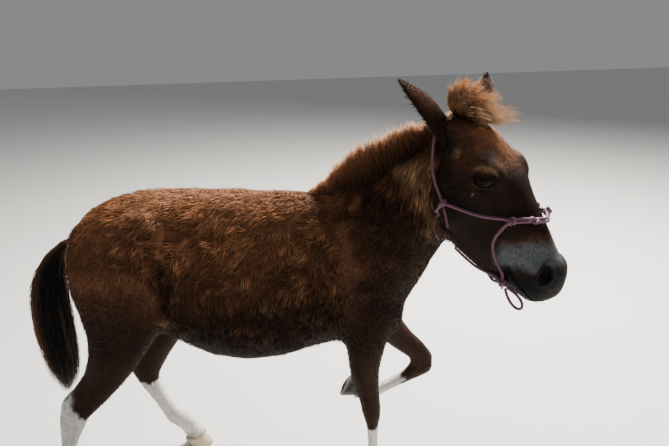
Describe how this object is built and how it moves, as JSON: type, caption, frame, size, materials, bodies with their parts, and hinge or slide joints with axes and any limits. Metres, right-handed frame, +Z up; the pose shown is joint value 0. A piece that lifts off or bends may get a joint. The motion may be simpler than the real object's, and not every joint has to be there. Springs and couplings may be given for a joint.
{
  "type": "donkey",
  "caption": "Still, life-size model of a small shaggy brown donkey walking with one forefoot lifted, white stockings, upright mane and a knotted rope halter.",
  "frame": {"origin": "on the floor, under the middle of the whole model's box", "axes": "+X from tail to head along the body, +Y to the animal's left, +Z up"},
  "size_m": [1.439, 0.5068, 1.2138],
  "materials": {
    "coat": "medium long reddish brown hair, dark chocolate on the legs and face, pale at the muzzle",
    "stocking": "short off-white hair with a few dark patches",
    "mane": "stiff upright hair, dark at the roots and tan at the tips",
    "tail": "long dark brown hair with tan strands",
    "hoof": "dull horn",
    "eye": "wet and glossy, very dark brown",
    "rope": "twisted rope, pink to mauve"
  },
  "bodies": {
    "root": {"ear_left": "coat", "ear_right": "coat", "eye_left": "eye", "eye_right": "eye", "fore_left_hoof": "hoof", "fore_left_lower": "stocking", "fore_left_upper": "coat", "fore_right_hoof": "hoof", "fore_right_lower": "stocking", "fore_right_upper": "coat", "forelock": "mane", "halter_cheek_left": "rope", "halter_cheek_right": "rope", "halter_chin_left": "rope", "halter_chin_right": "rope", "halter_crown": "rope", "halter_end": "rope", "halter_jaw_left": "rope", "halter_jaw_right": "rope", "halter_knot_cheek_left": "rope", "halter_knot_cheek_right": "rope", "halter_knot_chin": "rope", "halter_knot_nose_left": "rope", "halter_knot_nose_right": "rope", "halter_knot_side_left": "rope", "halter_knot_side_right": "rope", "halter_loop": "rope", "halter_nose_lower": "rope", "halter_nose_lower_left": "rope", "halter_nose_lower_right": "rope", "halter_nose_upper": "rope", "halter_nose_upper_left": "rope", "halter_nose_upper_right": "rope", "head": "coat", "hind_left_hoof": "hoof", "hind_left_lower": "stocking", "hind_left_upper": "coat", "hind_right_hoof": "hoof", "hind_right_lower": "stocking", "hind_right_upper": "coat", "mane": "mane", "neck": "coat", "tail": "tail", "trunk": "coat"}
  },
  "joints": []
}
